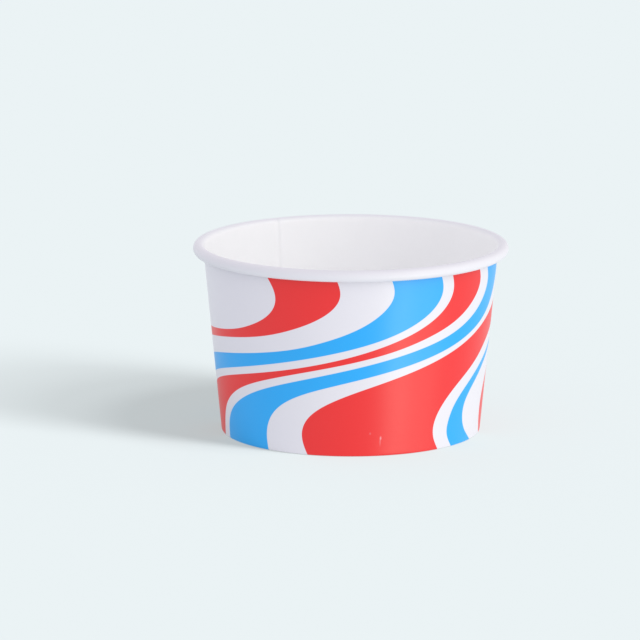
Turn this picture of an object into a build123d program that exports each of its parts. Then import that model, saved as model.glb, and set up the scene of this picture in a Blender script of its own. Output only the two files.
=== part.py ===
from build123d import *
import os
from math import asin, atan2, cos, degrees, hypot, radians, sin, tan

# A paper dessert cup made of two blanks of coated board: a wall rolled from one sheet, with
# a rolled rim, a lapped side seam and a folded hem, and a base disc sealed into that hem.
# Millimetres. The cup stands on z = 0 with its axis on Z, and its printed front faces -Y.

# Overall sizes
rim_diameter = 96.0  # outside of the rolled rim
cup_height = 58.0  # table to the top of the rolled rim
foot_diameter = 79.0  # outside of the wall at the table

# Board and seal
wall_board = 0.4  # thickness of the wall's board
base_board = 0.35  # thickness of the base disc's board
seal_film = 0.03  # film between two faces that are sealed together

# Rolled rim
curl_diameter = 3.5  # outside of the roll
curl_turn = 290.0  # degrees from where the roll leaves the wall to its cut edge
curl_creases = 12  # flats that the outside of the roll creases into
hollow_creases = 6  # flats of its tighter inside

# Foot
hem_height = 6.0  # table to the cut edge of the folded hem
hem_clearance = 0.4  # hem's cut edge to the bend of the base disc
foot_bevel = 0.3  # flat across the fold's outer corner
skirt_clearance = 0.3  # skirt's cut edge to the floor of the fold
base_bend = 0.6  # flat across the inside of the bend between base disc and skirt

# Side seam
seam_angle = 119.5  # degrees from +X to the cut edge inside the cup
lap_width = 7.0  # overlap of the two ends of the board, at mid height
climb_width = 3.0  # length over which the outer end climbs onto the inner one

# The wall's outer face runs from the foot to touch the hollow of the roll from inside.
foot_radius = foot_diameter / 2
curl_radius = curl_diameter / 2
curl_centre = (rim_diameter / 2 - curl_radius, cup_height - curl_radius)
run_out = curl_centre[0] - foot_radius
rise = curl_centre[1]
lean = atan2(run_out, rise) - asin((curl_radius - wall_board) / hypot(run_out, rise))

# The roll starts where the wall meets it, and its cut edge stops short of the wall.
roll_start = 180 - degrees(lean)
hollow_radius = curl_radius - wall_board

# Layers of the foot, each as its depth inside the wall's outer face
skirt_outside = wall_board + seal_film
skirt_inside = skirt_outside + base_board
hem_outside = skirt_inside + seal_film
hem_inside = hem_outside + wall_board

# Heights of the foot. The two flats of the base's bend keep the board's thickness between them.
fold_floor = wall_board
outer_bend = base_bend + (2 - 2**0.5) * base_board
skirt_bottom = fold_floor + skirt_clearance
base_underside = hem_height + hem_clearance + base_bend
base_top = base_underside + base_board

# The seam's widths as angles about the axis, at the wall's mean radius
mean_radius = (foot_radius + curl_centre[0]) / 2
lap_angle = degrees(lap_width / mean_radius)
climb_angle = degrees(climb_width / mean_radius)
ramp_foot = seam_angle + climb_angle
lap_edge = seam_angle - lap_angle
axis = (0, 0)


def face_radius(depth, z):
    """Radius at height z of the conical face that lies depth inside the wall's outer face."""
    return foot_radius - depth / cos(lean) + z * tan(lean)


def face_point(depth, z):
    """Point of that conical face in the section plane."""
    return (face_radius(depth, z), z)


def around(centre, radius, angle):
    """Point at an angle in degrees on a circle."""
    return (centre[0] + radius * cos(radians(angle)), centre[1] + radius * sin(radians(angle)))


def roll(radius, creases):
    """Points of the roll at a radius, in equal flats from the wall to its cut edge."""
    angles = [roll_start - curl_turn * step / creases for step in range(creases + 1)]
    return [around(curl_centre, radius, angle) for angle in angles]


# Wall: the section of the board, from the hem up the wall and round the rim, turned about Z
hollow_side = roll(hollow_radius, hollow_creases)
rim_side = roll(curl_radius, curl_creases)

with BuildPart() as side_wall:
    with BuildSketch(Plane.XZ) as section:
        with BuildLine():
            Polyline(
                face_point(0, 0),
                *hollow_side,
                *reversed(rim_side),
                face_point(wall_board, fold_floor),
                face_point(hem_outside, fold_floor),
                face_point(hem_outside, hem_height),
                face_point(hem_inside, hem_height),
                face_point(hem_inside, 0),
                close=True,
            )
        make_face()
        chamfer(section.vertices().sort_by_distance(face_point(0, 0))[0], foot_bevel)
    revolve(axis=Axis.Z)

    # Side seam: the outer end of the board climbs a ramp, then lies on the inner end, from the
    # foot to the underside of the rim. It is rooted at mid thickness in the wall, to join it.
    for z in (foot_bevel, cup_height - curl_diameter):
        root = face_radius(wall_board / 2, z)
        outside = face_radius(0, z)
        top = face_radius(-wall_board, z)
        with BuildSketch(Plane.XY.offset(z)):
            with BuildLine():
                Line(around(axis, root, ramp_foot), around(axis, outside, ramp_foot))
                Line(around(axis, outside, ramp_foot), around(axis, top, seam_angle))
                CenterArc(axis, top, seam_angle, -lap_angle)
                Line(around(axis, top, lap_edge), around(axis, root, lap_edge))
                CenterArc(axis, root, lap_edge, lap_angle + climb_angle)
            make_face()
    loft(ruled=True)

    # The cut edge of the inner end shows as a step inside the cup, from the base disc to the
    # rim: the space beside it is where the board climbs.
    for z in (base_top, curl_centre[1]):
        inside = face_radius(wall_board, z)
        clear = inside - wall_board
        with BuildSketch(Plane.XY.offset(z)):
            with BuildLine():
                Polyline(
                    around(axis, clear, ramp_foot),
                    around(axis, inside, ramp_foot),
                    around(axis, face_radius(0, z), seam_angle),
                    around(axis, clear, seam_angle),
                    close=True,
                )
            make_face()
    loft(ruled=True, mode=Mode.SUBTRACT)

side_wall.part.label = "side_wall"

# Base disc: a flat disc with its edge bent down into a skirt that stands in the fold
inner_corner = face_point(skirt_inside, base_underside)
outer_corner = face_point(skirt_outside, base_top)

with BuildPart() as base_disc:
    with BuildSketch(Plane.XZ) as disc_section:
        with BuildLine():
            Polyline(
                (0, base_underside),
                inner_corner,
                face_point(skirt_inside, skirt_bottom),
                face_point(skirt_outside, skirt_bottom),
                outer_corner,
                (0, base_top),
                close=True,
            )
        make_face()
        chamfer(disc_section.vertices().sort_by_distance(inner_corner)[0], base_bend)
        chamfer(disc_section.vertices().sort_by_distance(outer_corner)[0], outer_bend)
    revolve(axis=Axis.Z)

base_disc.part.label = "base_disc"

os.makedirs("parts", exist_ok=True)
for piece in (side_wall, base_disc):
    export_step(piece.part, f"parts/{piece.part.label}.step")
    print(piece.part.label, "volume", round(piece.part.volume, 1), "valid", piece.part.is_valid)
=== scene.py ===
import bpy
import numpy as np
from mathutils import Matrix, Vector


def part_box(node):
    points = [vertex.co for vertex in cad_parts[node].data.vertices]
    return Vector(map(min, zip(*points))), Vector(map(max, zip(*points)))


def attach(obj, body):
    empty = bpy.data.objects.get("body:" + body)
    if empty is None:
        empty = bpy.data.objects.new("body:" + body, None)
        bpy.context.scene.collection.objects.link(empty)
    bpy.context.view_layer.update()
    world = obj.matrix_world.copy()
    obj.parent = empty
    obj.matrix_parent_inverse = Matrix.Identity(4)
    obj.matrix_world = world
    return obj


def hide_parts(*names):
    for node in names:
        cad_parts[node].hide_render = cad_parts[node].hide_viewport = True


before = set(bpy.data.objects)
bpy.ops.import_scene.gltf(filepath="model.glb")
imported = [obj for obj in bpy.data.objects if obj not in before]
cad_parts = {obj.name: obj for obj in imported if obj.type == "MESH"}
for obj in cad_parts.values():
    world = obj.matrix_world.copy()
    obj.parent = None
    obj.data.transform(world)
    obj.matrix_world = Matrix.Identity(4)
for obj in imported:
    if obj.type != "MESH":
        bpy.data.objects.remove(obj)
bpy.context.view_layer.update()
mm = 0.001  # sizes are written in millimetres and the scene is in metres
sharpAngle = 40  # degrees: a bend above this keeps a crisp edge

# The solid's roll has flats, so the round one keeps to its nearest side
wallLow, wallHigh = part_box("side_wall")
rimRadius = min(-wallLow.x, wallHigh.x, -wallLow.y, wallHigh.y) / mm
cupHeight = wallHigh.z / mm
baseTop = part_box("base_disc")[1].z / mm
print("frame loaded, cup", round(cupHeight, 2), "mm tall")


# Unit vectors in the section plane at angles from the outward radius
def direction(angle):
    return np.stack([np.cos(angle), np.sin(angle)], axis=-1)


# 0 below the first bound and 1 above the second, with an eased climb between them
def eased(x, low, high):
    share = np.clip((x - low) / (high - low), 0, 1)
    return share * share * (3 - 2 * share)


# Natural cubic spline: its bends at the knots solve the equations that keep slope and bend continuous.
# Gives the value and the slope at each place, and holds the end values past the ends.
def splineThrough(knots, values, at):
    knots, values = np.array(knots, float), np.array(values, float)
    gap = np.diff(knots)
    rise = np.diff(values) / gap
    inner = np.arange(1, len(knots) - 1)
    system, right = np.eye(len(knots)), np.zeros(len(knots))
    system[inner, inner - 1], system[inner, inner + 1] = gap[:-1], gap[1:]
    system[inner, inner] = 2 * (gap[:-1] + gap[1:])
    right[inner] = 6 * np.diff(rise)
    bend = np.linalg.solve(system, right)
    place = np.clip(at, knots[0], knots[-1])
    k = np.clip(np.searchsorted(knots, place) - 1, 0, len(gap) - 1)
    t = place - knots[k]
    start = rise[k] - gap[k] * (2 * bend[k] + bend[k + 1]) / 6
    curl = (bend[k + 1] - bend[k]) / (6 * gap[k])
    return values[k] + t * (start + t * (bend[k] / 2 + t * curl)), start + t * (bend[k] + 3 * t * curl)


# Mesh object from points in millimetres, faces, materials and the number of each face's material
def meshFrom(name, points, faces, materials, slots):
    mesh = bpy.data.meshes.new(name)
    mesh.from_pydata((points * mm).tolist(), [], faces)
    mesh.shade_smooth()
    mesh.set_sharp_from_angle(angle=np.radians(sharpAngle))
    for material in materials:
        mesh.materials.append(material)
    mesh.polygons.foreach_set("material_index", slots)
    piece = bpy.data.objects.new(name, mesh)
    bpy.context.scene.collection.objects.link(piece)
    return piece


def newMaterial(name):
    material = bpy.data.materials.new(name)
    material.use_nodes = True
    return material, material.node_tree.nodes["Principled BSDF"]


wall = {
    "board": 0.4,  # thickness
    "footDiameter": 79.0,
    "rollDiameter": 3.5,
    "rollTurn": 290,  # degrees of roll, from the wall to its cut edge
    "hemHeight": 6.0,
    "foldGap": 0.41,  # room in the fold for the base's skirt
    "seamAngle": 119.5,  # degrees from +X to the cut edge inside the cup
    "lapWidth": 7.0,
    "climbWidth": 3.0,  # where the outer end climbs onto the inner one
    "sealWidth": 1.1,  # slope of the film that seals the cut edge inside the cup
    "rimStep": 0.3,  # share of the seam's step that is left on the roll
    "stepStart": (0, 0.5),  # shares of the roll, from its cut edge, between which that step starts
    "stepGrowth": (0.7, 1),  # shares of the roll between which it grows to the wall's full step
    "stepFold": (0.6, 2.5),  # runs from the middle of the fold between which the step starts
    "rollShadeEnd": (0.75, 1),  # shares of the roll between which its painted shade ends
    "knurls": 60,  # pressed ridges round the hem
    "knurlDepth": 0.18,
    "knurlStart": (1.2, 2.2),  # runs up the hem between which the ridges start
    "knurlEnd": (5.2, 6.2),  # and between which they end
    "insideRows": {"roll": 30, "wall": 26, "fold": 7, "hem": 3},
    "printRows": {"roll": 16, "wall": 74, "fold": 11, "hem": 8},
    "lapColumns": 14,
    "sealColumns": 8,
    "climbColumns": 8,
    "roundColumns": 456,
    "hair": 0.0003,  # angle in radians between the two columns at the outer cut edge
}

# The wall leans so that its outer face runs from the foot to touch the hollow of the roll.
board = wall["board"]
footRadius, rollRadius = wall["footDiameter"] / 2, wall["rollDiameter"] / 2
rollCentre = np.array([rimRadius - rollRadius, cupHeight - rollRadius])
wallRun = rollCentre - [footRadius, 0]
lean = np.arctan2(*wallRun) - np.arcsin((rollRadius - board) / np.hypot(*wallRun))
outward = direction(-lean)  # normal of the wall's outer face in the section
foldRadius = wall["foldGap"] / 2

grainNoise = {
    "fibreDetail": 4,
    "fibreDistortion": 1.2,
    "cloudDetail": 2,
}


# Shared effect: the mottled face and the fibres of coated board
def boardGrainGroup():
    group = bpy.data.node_groups.new("boardGrain", "ShaderNodeTree")
    group.interface.new_socket("Vector", in_out="INPUT", socket_type="NodeSocketVector")
    group.interface.new_socket("Fibre Scale", in_out="INPUT", socket_type="NodeSocketFloat")
    group.interface.new_socket("Cloud Scale", in_out="INPUT", socket_type="NodeSocketFloat")
    group.interface.new_socket("Mottle", in_out="OUTPUT", socket_type="NodeSocketFloat")
    group.interface.new_socket("Height", in_out="OUTPUT", socket_type="NodeSocketFloat")
    nodes, links = group.nodes, group.links
    enter, leave = nodes.new("NodeGroupInput"), nodes.new("NodeGroupOutput")
    fibre, cloud = nodes.new("ShaderNodeTexNoise"), nodes.new("ShaderNodeTexNoise")
    fibre.inputs["Detail"].default_value = grainNoise["fibreDetail"]
    fibre.inputs["Distortion"].default_value = grainNoise["fibreDistortion"]
    cloud.inputs["Detail"].default_value = grainNoise["cloudDetail"]
    join = nodes.new("ShaderNodeMath")
    join.operation = "MULTIPLY"
    for noise, scale in ((fibre, "Fibre Scale"), (cloud, "Cloud Scale")):
        links.new(enter.outputs["Vector"], noise.inputs["Vector"])
        links.new(enter.outputs[scale], noise.inputs["Scale"])
    links.new(fibre.outputs["Fac"], join.inputs[0])
    links.new(cloud.outputs["Fac"], join.inputs[1])
    links.new(join.outputs["Value"], leave.inputs["Mottle"])
    links.new(fibre.outputs["Fac"], leave.inputs["Height"])
    return group


boardGrain = boardGrainGroup()


# Places the board's grain in a material: a faint mottle in colour and gloss, and a faint relief
def addGrain(nodes, links, shader, look, colour=None):
    place = nodes.new("ShaderNodeTexCoord")
    grain = nodes.new("ShaderNodeGroup")
    grain.node_tree = boardGrain
    grain.inputs["Fibre Scale"].default_value = look["fibreScale"]
    grain.inputs["Cloud Scale"].default_value = look["cloudScale"]
    links.new(place.outputs["Object"], grain.inputs["Vector"])
    tint = nodes.new("ShaderNodeMix")
    tint.data_type, tint.blend_type = "RGBA", "MULTIPLY"
    tint.inputs["B"].default_value = look["mottleTint"] + (1,)
    links.new(grain.outputs["Mottle"], tint.inputs["Factor"])
    if colour is None:
        tint.inputs["A"].default_value = look["colour"] + (1,)
    else:
        links.new(colour, tint.inputs["A"])
    gloss = nodes.new("ShaderNodeMapRange")
    gloss.inputs["To Min"].default_value, gloss.inputs["To Max"].default_value = look["roughness"]
    bump = nodes.new("ShaderNodeBump")
    bump.inputs["Strength"].default_value = look["reliefStrength"]
    bump.inputs["Distance"].default_value = look["relief"] * mm
    links.new(grain.outputs["Mottle"], gloss.inputs["Value"])
    links.new(grain.outputs["Height"], bump.inputs["Height"])
    links.new(tint.outputs["Result"], shader.inputs["Base Color"])
    links.new(gloss.outputs["Result"], shader.inputs["Roughness"])
    links.new(bump.outputs["Normal"], shader.inputs["Normal"])


plainLook = {
    # painted light in part: both faces are white board, but this one is set much lighter than the printed
    # face's white, standing in for the brighter light inside the cup
    "colour": (0.948, 0.943, 0.958),
    "rollPaintedShade": (0.774, 0.756, 0.812),  # painted shade: the roll is coloured darker and bluer than the plain board, standing in for the shade on the rim
    "mottleTint": (0.95, 0.95, 0.95),
    "fibreScale": 900,
    "cloudScale": 70,
    "roughness": (0.4, 0.5),
    "relief": 0.05,
    "reliefStrength": 0.12,
}

cutLook = {
    "colour": (0.80, 0.785, 0.75),
    "mottleTint": (0.8, 0.79, 0.77),
    "fibreScale": 2600,
    "cloudScale": 300,
    "roughness": (0.75, 0.9),
    "relief": 0.08,
    "reliefStrength": 0.5,
}

printLook = {
    "board": (0.735, 0.709, 0.782),
    "red": (0.788, 0.025, 0.027),
    "blue": (0.017, 0.374, 0.875),
    "inkEdge": 0.06,  # half of the soft edge of the ink, in millimetres
    "mottleTint": (0.96, 0.96, 0.96),
    "fibreScale": 900,
    "cloudScale": 70,
    "roughness": (0.32, 0.42),
    "specular": 0.41,
    "relief": 0.05,
    "reliefStrength": 0.1,
}


# The mesh carries how much each point belongs to the roll, from 0 on the wall to 1, and by that share the
# roll takes a painted shade
def plainBoardMaterial():
    material, shader = newMaterial("plainBoard")
    nodes, links = material.node_tree.nodes, material.node_tree.links
    onRoll = nodes.new("ShaderNodeAttribute")
    onRoll.attribute_name = "onRoll"
    layer = nodes.new("ShaderNodeMix")
    layer.data_type, layer.blend_type = "RGBA", "MULTIPLY"
    layer.inputs["A"].default_value = plainLook["colour"] + (1,)
    layer.inputs["B"].default_value = plainLook["rollPaintedShade"] + (1,)
    links.new(onRoll.outputs["Fac"], layer.inputs["Factor"])
    addGrain(nodes, links, shader, plainLook, layer.outputs["Result"])
    return material


def cutEdgeMaterial():
    material, shader = newMaterial("cutEdge")
    nodes, links = material.node_tree.nodes, material.node_tree.links
    addGrain(nodes, links, shader, cutLook)
    return material


# Painted glints, where the ink fades towards the board's colour to stand in for small highlights on dents
# near the foot: degrees to the right of the front, height, half of the width and of the height in
# millimetres, and the share of the ink that the glint takes away
paintedGlints = (
    {"turn": 12.95, "height": 5.6, "halfWidth": 0.4, "halfHeight": 0.9, "glintShare": 0.4},
    {"turn": 12.75, "height": 4.5, "halfWidth": 0.34, "halfHeight": 2.0, "glintShare": 0.16},
    {"turn": 8.35, "height": 7.15, "halfWidth": 0.42, "halfHeight": 0.6, "glintShare": 0.14},
)


# A painted glint fades from its middle: 1 less the distance from there, in halves of its width and height
def addPaintedGlint(nodes, links, colour, glint):
    place, centre = nodes.new("ShaderNodeTexCoord"), nodes.new("ShaderNodeMapping")
    centre.vector_type = "TEXTURE"
    turn = np.radians(glint["turn"])
    radius = footRadius + glint["height"] * np.tan(lean)
    spot = np.array([radius * np.sin(turn), -radius * np.cos(turn), glint["height"]])
    centre.inputs["Location"].default_value = spot * mm
    centre.inputs["Rotation"].default_value = (0, 0, turn)
    centre.inputs["Scale"].default_value = np.array([glint["halfWidth"], 1, glint["halfHeight"]]) * mm
    away, fade = nodes.new("ShaderNodeVectorMath"), nodes.new("ShaderNodeMapRange")
    away.operation, fade.interpolation_type = "LENGTH", "SMOOTHSTEP"
    fade.inputs["To Min"].default_value, fade.inputs["To Max"].default_value = glint["glintShare"], 0
    layer = nodes.new("ShaderNodeMix")
    layer.data_type = "RGBA"
    layer.inputs["B"].default_value = printLook["board"] + (1,)
    links.new(place.outputs["Object"], centre.inputs["Vector"])
    links.new(centre.outputs["Vector"], away.inputs["Vector"])
    links.new(away.outputs["Value"], fade.inputs["Value"])
    links.new(fade.outputs["Result"], layer.inputs["Factor"])
    links.new(colour, layer.inputs["A"])
    return layer.outputs["Result"]


# The mesh carries how far each point lies inside the red and the blue stripes, and the ink starts at 0
def printedBoardMaterial():
    material, shader = newMaterial("printedBoard")
    nodes, links = material.node_tree.nodes, material.node_tree.links
    colour = None
    for ink in ("red", "blue"):
        field = nodes.new("ShaderNodeAttribute")
        field.attribute_name = ink + "Ink"
        edge = nodes.new("ShaderNodeMapRange")
        edge.inputs["From Min"].default_value = -printLook["inkEdge"]
        edge.inputs["From Max"].default_value = printLook["inkEdge"]
        layer = nodes.new("ShaderNodeMix")
        layer.data_type = "RGBA"
        layer.inputs["B"].default_value = printLook[ink] + (1,)
        links.new(field.outputs["Fac"], edge.inputs["Value"])
        links.new(edge.outputs["Result"], layer.inputs["Factor"])
        if colour is None:
            layer.inputs["A"].default_value = printLook["board"] + (1,)
        else:
            links.new(colour, layer.inputs["A"])
        colour = layer.outputs["Result"]
    # Painted glints: pale spots laid over the inks
    for glint in paintedGlints:
        colour = addPaintedGlint(nodes, links, colour, glint)
    addGrain(nodes, links, shader, printLook, colour)
    shader.inputs["Specular IOR Level"].default_value = printLook["specular"]
    return material


plainBoard, cutEdge, printedBoard = plainBoardMaterial(), cutEdgeMaterial(), printedBoardMaterial()
print("materials made")

# The stripes wind round the wall: angles of the two edges of each stripe, in degrees to the right of the
# front, at these heights
stripeHeights = (0, 4, 9, 14, 20, 26, 32, 35, 38, 44, 50, 55)
stripes = (
    {
        "ink": "red",
        "left": (-178, -178, -176.5, -172, -161, -137, -93, -62, -45.5, -32.5, -31, -34.5),
        "right": (-156, -155.5, -154, -150, -139, -113, -67, -42, -26.5, -9.5, -4, -5.5),
    },
    {
        "ink": "blue",
        "left": (-128, -127.5, -125.5, -120, -105, -74.5, -27.5, -12.5, -1.5, 12, 17, 15.5),
        "right": (-110, -109.5, -107, -99.5, -78.5, -42.5, -6.5, 8.5, 20, 34, 38.5, 37),
    },
    {
        "ink": "red",
        "left": (-100, -99.5, -97, -89, -65.5, -27.5, 5, 17.5, 27.5, 40, 44, 42.5),
        "right": (-74, -72.5, -69.5, -62.5, -46, -17.5, 16.5, 30, 41.5, 56, 61.5, 59.5),
    },
    {
        "ink": "blue",
        "left": (-67.5, -67, -63.5, -54.5, -35.5, -6, 27.5, 42, 52.5, 65, 69, 66),
        "right": (-38.5, -39, -37.5, -32, -15.5, 15.5, 46.5, 58, 67, 78, 84, 83),
    },
    {
        "ink": "red",
        "left": (-19, -21, -20.5, -14.5, 2.5, 28.5, 53.5, 64, 74, 95, 108, 110),
        "right": (41.5, 38.5, 38.5, 42.5, 52, 65.5, 80, 92, 107, 132, 149, 154),
    },
    {
        "ink": "blue",
        "left": (50, 46.5, 47, 51, 61.5, 76, 95, 108, 123, 147, 162, 165),
        "right": (66, 59.5, 56.5, 58.5, 68, 81.5, 103, 118, 134, 160, 176, 179),
    },
    {
        "ink": "red",
        "left": (79.5, 77, 76, 78, 86, 102, 128, 143, 158, 181, 192, 194),
        "right": (134, 132, 131.5, 136, 149, 172, 199, 211, 221, 234, 240, 241),
    },
    {
        "ink": "blue",
        "left": (142, 140, 139.5, 144.5, 158, 181.5, 208, 219.5, 229, 241.5, 247, 248),
        "right": (172, 169, 168, 171.5, 183, 203.5, 229, 240, 249.5, 262, 267.5, 268),
    },
)
inkEnd = -3.0  # where the ink stops on the hem, as a run past the foot
noInk = -99.0  # stands for a point far outside every stripe


# Point of the section that lies a depth inside the wall's outer face, at a height
def wallPoint(depth, z):
    return np.array([footRadius - depth / np.cos(lean) + z * np.tan(lean), z])


# One face of the board in section: the roll, the wall, the fold and the hem in turn. The roll and the fold
# are arcs about their centres, the wall and the hem straight runs between them, and the whole face is
# carried along its normals, which run from the cup's inside through the board.
def boardFace(depth, rows):
    rollEnd = np.pi - lean - np.radians(wall["rollTurn"])
    rollWay = -direction(np.linspace(rollEnd, np.pi - lean, rows["roll"]))
    foldWay = direction(np.linspace(-lean, -lean - np.pi, rows["fold"]))
    foldCentre = wallPoint(board + foldRadius, board + foldRadius)
    roll = rollCentre - rollRadius * rollWay
    fold = foldCentre + foldRadius * foldWay
    hemTop = wallPoint(board + 2 * foldRadius, wall["hemHeight"])
    wallShare = np.linspace(0, 1, rows["wall"] + 2)[1:-1, None]
    hemShare = np.linspace(0, 1, rows["hem"] + 1)[1:, None]
    straight = roll[-1] + wallShare * (fold[0] - roll[-1])
    hem = fold[-1] + hemShare * (hemTop - fold[-1])
    ways = [rollWay, outward + 0 * straight, foldWay, -outward + 0 * hem]
    points, normals = np.concatenate([roll, straight, fold, hem]), np.concatenate(ways)
    return points + depth * normals, normals


# Run along a face from the middle of its fold, which is positive up the wall and negative up the hem
def runFromFold(points, rows):
    steps = np.hypot(*np.diff(points, axis=0).T)
    run = -np.concatenate([[0], np.cumsum(steps)])
    return run - run[rows["roll"] + rows["wall"] + rows["fold"] // 2]


# How far inside the stripes of one ink each point lies, in millimetres: half of a stripe's width less the
# angle from its middle, along the surface and square to the nearer edge
def inkField(ink, turn, height, radius):
    field = np.full(np.broadcast(turn, height).shape, noInk)
    around = np.radians(radius)
    for stripe in [each for each in stripes if each["ink"] == ink]:
        left, leftSlope = splineThrough(stripeHeights, stripe["left"], height)
        right, rightSlope = splineThrough(stripeHeights, stripe["right"], height)
        offset = (turn - (left + right) / 2 + 180) % 360 - 180
        slope = np.where(offset < 0, leftSlope, rightSlope)
        inside = ((right - left) / 2 - abs(offset)) * around / np.hypot(1, slope * around)
        field = np.maximum(field, inside)
    return np.minimum(field, height - inkEnd)


# Columns of the grid, from the outer cut edge of the seam round to it again. The outer face climbs by the
# first share, and the inner face by the second, which the sealing film eases in from the cut edge.
def wallColumns():
    meanRadius = (footRadius + rollCentre[0]) / 2
    seam = np.radians(wall["seamAngle"])
    lapEdge = seam - wall["lapWidth"] / meanRadius
    sealEnd, climbEnd = seam + wall["sealWidth"] / meanRadius, seam + wall["climbWidth"] / meanRadius
    lap = np.linspace(lapEdge, seam, wall["lapColumns"])
    seal = np.linspace(seam, sealEnd, wall["sealColumns"] + 1)[1:]
    climb = np.linspace(sealEnd, climbEnd, wall["climbColumns"] + 1)[1:]
    rest = np.linspace(climbEnd, lapEdge + 2 * np.pi - wall["hair"], wall["roundColumns"] + 1)[1:]
    angle = np.concatenate([lap, seal, climb, rest])
    climbed = 1 - eased(angle, seam, climbEnd)
    return angle, climbed, climbed * eased(angle, seam, sealEnd)


flatMap = {
    "strips": 3,
    "printShare": 0.76,  # share of the map's height that goes to the printed face
    "margin": 0.01,  # share of a strip that stays free along its edges
}


# The wall is one closed sheet: the section's two faces joined at their cut edges, turned about the axis.
# Each point moves along its normal by the seam's step at its angle, and the hem by its pressed ridges.
def buildWall():
    angle, lapShare, stepShare = wallColumns()
    inside, insideWay = boardFace(0, wall["insideRows"])
    printed, printedWay = boardFace(board, wall["printRows"])
    insideRun = runFromFold(inside, wall["insideRows"])
    printedRun = runFromFold(printed, wall["printRows"])

    rollShare = np.arange(len(inside)) / (wall["insideRows"]["roll"] - 1)
    onRim = wall["rimStep"] + (1 - wall["rimStep"]) * eased(rollShare, *wall["stepGrowth"])
    insideFade = eased(abs(insideRun), *wall["stepFold"]) * onRim * eased(rollShare, *wall["stepStart"])
    printedFade = eased(abs(printedRun), *wall["stepFold"])
    hemFade = eased(-printedRun, *wall["knurlStart"]) * (1 - eased(-printedRun, *wall["knurlEnd"]))
    ridges = wall["knurlDepth"] * (1 + np.cos(angle * wall["knurls"])) / 2

    insideShift = board * insideFade[:, None] * stepShare
    printedShift = board * printedFade[:, None] * lapShare + hemFade[:, None] * ridges
    section = np.concatenate([inside, printed[::-1]])
    ways = np.concatenate([insideWay, printedWay[::-1]])
    shift = np.concatenate([insideShift, printedShift[::-1]])
    radius = section[:, :1] + ways[:, :1] * shift
    height = section[:, 1:] + ways[:, 1:] * shift
    points = np.stack([radius * np.cos(angle), radius * np.sin(angle), height], axis=-1)

    rowCount, columnCount = radius.shape
    row, column = np.meshgrid(np.arange(rowCount), np.arange(columnCount), indexing="ij")
    nextRow, nextColumn = (row + 1) % rowCount, (column + 1) % columnCount
    corners = [(row, column), (row, nextColumn), (nextRow, nextColumn), (nextRow, column)]
    faces = np.stack([r * columnCount + c for r, c in corners], axis=-1).reshape(-1, 4)

    # Printed face 0, plain face 1, cut edges 2: the two ends of the section and the outer end of the sheet
    onPrint = row >= len(inside)
    slots = np.where(onPrint, 0, 1)
    slots[(row == len(inside) - 1) | (row == rowCount - 1)] = 2
    slots[onPrint & (column == columnCount - 1)] = 2
    materials = [printedBoard, plainBoard, cutEdge]
    piece = meshFrom("cupWall", points.reshape(-1, 3), faces.tolist(), materials, slots.ravel())

    # Height for the print: the run up the wall, which carries on past the fold and the roll
    printHeight = (printedRun[::-1] - printedRun[wall["printRows"]["roll"]]) * np.cos(lean)
    printHeight = printHeight + printed[wall["printRows"]["roll"], 1]
    turn = np.degrees(angle) + 90  # to the right of the front
    for ink in ("red", "blue"):
        field = np.full((rowCount, columnCount), noInk)
        field[len(inside):] = inkField(ink, turn, printHeight[:, None], radius[len(inside):])
        layer = piece.data.attributes.new(ink + "Ink", "FLOAT", "POINT")
        layer.data.foreach_set("value", field.ravel())

    # Painted shade on the roll, eased off over its last quarter towards the wall
    rollShadeShare = np.zeros((rowCount, columnCount))
    rollShadeShare[: len(inside)] = 1 - eased(rollShare, *wall["rollShadeEnd"])[:, None]
    layer = piece.data.attributes.new("onRoll", "FLOAT", "POINT")
    layer.data.foreach_set("value", rollShadeShare.ravel())

    # Flat map of the sheet for texture baking: strips one above the other, each face in its own share
    strips, printShare, margin = flatMap["strips"], flatMap["printShare"], flatMap["margin"]
    strip = column * strips // columnCount
    span = np.where(onPrint, printShare, 1 - printShare) / strips
    bottom = np.where(onPrint, 0, printShare) + strip * span
    first = np.where(onPrint, len(inside), 0)
    count = np.where(onPrint, len(printed), len(inside))
    across = np.array([column, column + 1, column + 1, column]) * strips / columnCount - strip
    along = (np.array([row, row, row + 1, row + 1]) - first) / count
    u = margin + (1 - 2 * margin) * across
    v = bottom + span * (margin + (1 - 2 * margin) * along)
    flat = piece.data.uv_layers.new(name="OFBake", do_init=False)
    flat.uv.foreach_set("vector", np.stack([u, v], axis=-1).transpose(1, 2, 0, 3).ravel())
    return piece


cupWall = buildWall()
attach(cupWall, "root")
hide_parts("side_wall")
print("wall", len(cupWall.data.polygons), "faces")

base = {
    "board": 0.35,
    "film": 0.03,  # between the skirt and the wall
    "bendRadius": 0.6,  # inside of the bend
    "skirtBottom": 0.7,  # height of the skirt's cut edge
    "columns": 240,
    "flatRows": 18,
    "bendRows": 8,
    "skirtRows": 4,
}


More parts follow.
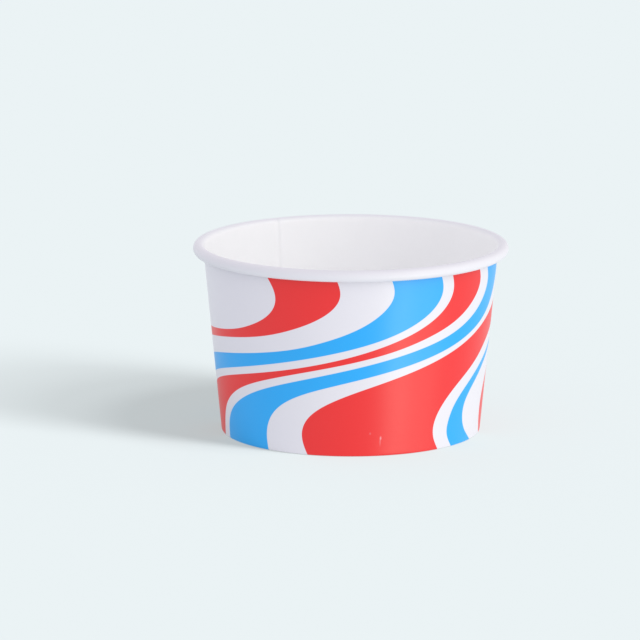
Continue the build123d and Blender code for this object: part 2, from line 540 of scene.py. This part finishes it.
# The disc's two faces are joined at the skirt's cut edge and turned about the axis. Each is a flat run, an
# arc about the bend's centre and a straight skirt along the wall, and a point at the axis closes it.
def buildBase():
    outerBend = base["bendRadius"] + base["board"]
    outside = board + base["film"]
    bendCentre = wallPoint(outside + outerBend, baseTop - outerBend)
    bendWay = direction(np.linspace(np.pi / 2, -lean, base["bendRows"]))
    skirtShare = np.linspace(0, 1, base["skirtRows"] + 1)[1:, None]

    def discFace(radius, depth):
        bend = bendCentre + radius * bendWay
        flatShare = np.linspace(0, 1, base["flatRows"] + 1)[1:-1, None]
        flatRun = np.array([0, bend[0, 1]]) + flatShare * [bend[0, 0], 0]
        skirtEnd = wallPoint(depth, base["skirtBottom"])
        return np.concatenate([flatRun, bend, bend[-1] + skirtShare * (skirtEnd - bend[-1])])

    upper = discFace(outerBend, outside)
    lower = discFace(base["bendRadius"], outside + base["board"])
    section = np.concatenate([upper, lower[::-1]])
    angle = np.linspace(0, 2 * np.pi, base["columns"], endpoint=False)
    rings = np.stack(
        [
            section[:, :1] * np.cos(angle),
            section[:, :1] * np.sin(angle),
            section[:, 1:] + 0 * angle,
        ],
        axis=-1,
    ).reshape(-1, 3)
    poles = np.array([[0, 0, upper[0, 1]], [0, 0, lower[0, 1]]])

    columnCount, rowCount = base["columns"], len(section)
    row, column = np.meshgrid(np.arange(rowCount - 1), np.arange(columnCount), indexing="ij")
    nextColumn = (column + 1) % columnCount
    corners = [(row, nextColumn), (row, column), (row + 1, column), (row + 1, nextColumn)]
    quads = np.stack([r * columnCount + c for r, c in corners], axis=-1).reshape(-1, 4)
    here, there = np.arange(columnCount), (np.arange(columnCount) + 1) % columnCount
    lastRing, pole = (rowCount - 1) * columnCount, rowCount * columnCount
    topFan = np.stack([here, there, pole + 0 * here], axis=-1)
    underFan = np.stack([lastRing + there, lastRing + here, pole + 1 + 0 * here], axis=-1)
    faces = quads.tolist() + topFan.tolist() + underFan.tolist()

    # Plain faces 0, the skirt's cut edge 1
    slots = np.zeros(len(faces), int)
    slots[: len(quads)] = (row == len(upper) - 1).ravel()
    return meshFrom("cupBase", np.concatenate([rings, poles]), faces, [plainBoard, cutEdge], slots)


cupBase = buildBase()
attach(cupBase, "root")
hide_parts("base_disc")
print("base", len(cupBase.data.polygons), "faces")

studio = {
    "floorColour": (0.83, 0.895, 0.909),  # as it shows in full light
    "floorMatt": 0.12,  # share of that colour that takes light and shade
    "floorGlow": 0.5363,  # share that the floor gives by itself, as a light table does
    "floorReach": 6.0,  # metres from the cup to the floor's edge
    "worldColour": (1.0, 1.0, 1.03),
    "worldStrength": 0.915,
    "lampColours": {"cup": (1.0, 1.0, 0.87), "floor": (1.0, 1.0, 1.0)},
}

# Degrees: height above the floor, side round from the camera to the right, and softness across the lamp.
# The sheen lamps stand low, below 0, for the satin band on the print, and only the cup blocks a lamp.
lamps = {
    "keyLight": {"strength": 0.54, "height": 30, "side": 62, "softness": 45, "reaches": "cup"},
    "sheenNear": {"strength": 0.52, "height": -21, "side": 40, "softness": 22, "reaches": "cup"},
    "sheenFar": {"strength": 0.39, "height": -20, "side": 65, "softness": 28, "reaches": "cup"},
    "sheenEdge": {"strength": 0.12, "height": -18, "side": 95, "softness": 32, "reaches": "cup"},
    "floorLow": {"strength": 8.16, "height": 26, "side": 58.5, "softness": 16, "reaches": "floor"},
    "floorMid": {"strength": 4.36, "height": 40, "side": 58.5, "softness": 16, "reaches": "floor"},
    "floorHigh": {"strength": 3.4, "height": 58, "side": 58.5, "softness": 16, "reaches": "floor"},
}


def floorMaterial():
    material, shader = newMaterial("lightTable")
    matt = np.array(studio["floorColour"]) * studio["floorMatt"]
    shader.inputs["Base Color"].default_value = (*matt, 1)
    shader.inputs["Emission Color"].default_value = studio["floorColour"] + (1,)
    shader.inputs["Emission Strength"].default_value = studio["floorGlow"]
    shader.inputs["Roughness"].default_value = 1.0
    shader.inputs["Specular IOR Level"].default_value = 0.0
    return material


def buildStudio():
    reach = studio["floorReach"] / mm
    corners = np.array([[-reach, -reach, 0], [reach, -reach, 0], [reach, reach, 0], [-reach, reach, 0]])
    floor = meshFrom("floor", corners, [[0, 1, 2, 3]], [floorMaterial()], [0])

    world = bpy.data.worlds.new("studioWorld")
    world.use_nodes = True
    background = world.node_tree.nodes["Background"]
    background.inputs["Color"].default_value = studio["worldColour"] + (1,)
    background.inputs["Strength"].default_value = studio["worldStrength"]
    bpy.context.scene.world = world

    reached = {"cup": (cupWall, cupBase), "floor": (floor,)}
    blockers = bpy.data.collections.new("lampBlockers")
    for piece in reached["cup"]:
        blockers.objects.link(piece)
    for name, lamp in lamps.items():
        light = bpy.data.lights.new(name, "SUN")
        light.energy, light.angle = lamp["strength"], np.radians(lamp["softness"])
        light.color = studio["lampColours"][lamp["reaches"]]
        holder = bpy.data.objects.new(name, light)
        holder.rotation_euler = np.radians([90 - lamp["height"], 0, lamp["side"]])
        bpy.context.scene.collection.objects.link(holder)
        receivers = bpy.data.collections.new(name + "Reach")
        for piece in reached[lamp["reaches"]]:
            receivers.objects.link(piece)
        holder.light_linking.receiver_collection = receivers
        holder.light_linking.blocker_collection = blockers


view = {
    "distance": 1.5,  # metres from the foot's centre
    "height": 12.85,  # degrees above the floor, seen from the foot's centre
    "lookDown": 11.5925,  # degrees below level
    "turnLeft": 0.3675,  # degrees
    "lens": 275.15,  # millimetres
    "sensor": 36,
}


def buildCamera():
    data = bpy.data.cameras.new("photoCamera")
    data.lens, data.sensor_width = view["lens"], view["sensor"]
    camera = bpy.data.objects.new("photoCamera", data)
    rise = np.radians(view["height"])
    camera.location = (0, -view["distance"] * np.cos(rise), view["distance"] * np.sin(rise))
    camera.rotation_euler = (np.radians(90 - view["lookDown"]), 0, np.radians(view["turnLeft"]))
    bpy.context.scene.collection.objects.link(camera)
    bpy.context.scene.camera = camera


buildStudio()
buildCamera()
bpy.context.scene.view_settings.view_transform = "Standard"
print("studio and camera made")
